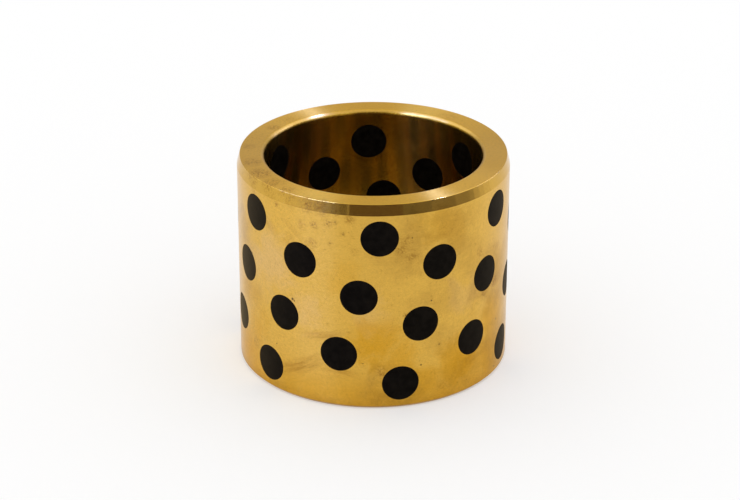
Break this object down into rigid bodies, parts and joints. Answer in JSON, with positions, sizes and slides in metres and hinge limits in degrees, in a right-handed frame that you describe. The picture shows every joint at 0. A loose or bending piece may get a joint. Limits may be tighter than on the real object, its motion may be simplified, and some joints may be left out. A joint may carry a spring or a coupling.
{
  "type": "graphite plugged bushing",
  "caption": "Plain cylindrical bearing bush of bronze with graphite plugs set flush through its wall and a lead-in chamfer round one end.",
  "frame": {"origin": "centre of the bore at the plain end face, which the bush stands on", "axes": "+Z along the bore, towards the end with the lead-in chamfer; +X and +Y across it, with the first plug of the top row 2.6 degrees from -Y towards +X"},
  "size_m": [0.075, 0.075, 0.06],
  "materials": {
    "bronze": "satin",
    "graphite": "matte"
  },
  "bodies": {
    "root": {"bronze_sleeve": "bronze", "graphite_plug_1_1": "graphite", "graphite_plug_1_2": "graphite", "graphite_plug_1_3": "graphite", "graphite_plug_1_4": "graphite", "graphite_plug_1_5": "graphite", "graphite_plug_1_6": "graphite", "graphite_plug_2_1": "graphite", "graphite_plug_2_2": "graphite", "graphite_plug_2_3": "graphite", "graphite_plug_2_4": "graphite", "graphite_plug_2_5": "graphite", "graphite_plug_2_6": "graphite", "graphite_plug_3_1": "graphite", "graphite_plug_3_2": "graphite", "graphite_plug_3_3": "graphite", "graphite_plug_3_4": "graphite", "graphite_plug_3_5": "graphite", "graphite_plug_3_6": "graphite", "graphite_plug_4_1": "graphite", "graphite_plug_4_2": "graphite", "graphite_plug_4_3": "graphite", "graphite_plug_4_4": "graphite", "graphite_plug_4_5": "graphite", "graphite_plug_4_6": "graphite", "graphite_plug_5_1": "graphite", "graphite_plug_5_2": "graphite", "graphite_plug_5_3": "graphite", "graphite_plug_5_4": "graphite", "graphite_plug_5_5": "graphite", "graphite_plug_5_6": "graphite", "graphite_plug_6_1": "graphite", "graphite_plug_6_2": "graphite", "graphite_plug_6_3": "graphite", "graphite_plug_6_4": "graphite", "graphite_plug_6_5": "graphite", "graphite_plug_6_6": "graphite"}
  },
  "joints": []
}
